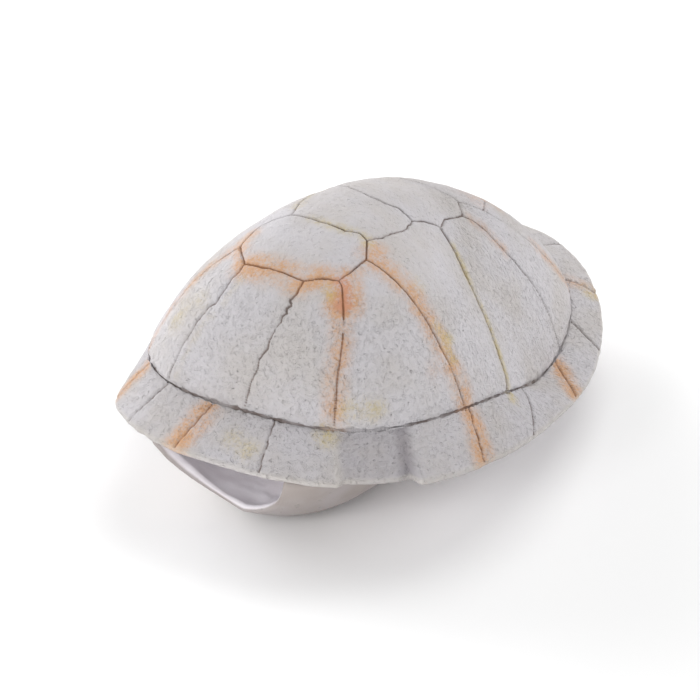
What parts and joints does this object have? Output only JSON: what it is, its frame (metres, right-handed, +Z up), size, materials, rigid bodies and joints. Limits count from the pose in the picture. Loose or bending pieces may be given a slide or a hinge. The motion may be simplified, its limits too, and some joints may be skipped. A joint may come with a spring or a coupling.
{
  "type": "tortoise skeleton",
  "caption": "Tortoise skeleton: a domed, seamed carapace over a shallow bowl-shaped plastron, hollow, with a mouth at the head end and a gap at the tail.",
  "frame": {"origin": "middle of the shell's box in plan, on the flat base of the plastron", "axes": "+Z up, the head end towards -Y, the animal's left side towards +X"},
  "size_m": [0.1359, 0.19, 0.0842],
  "materials": {
    "carapace_bone": "matt",
    "plastron_bone": "matt"
  },
  "bodies": {
    "root": {"carapace": "carapace_bone", "plastron": "plastron_bone"}
  },
  "joints": []
}
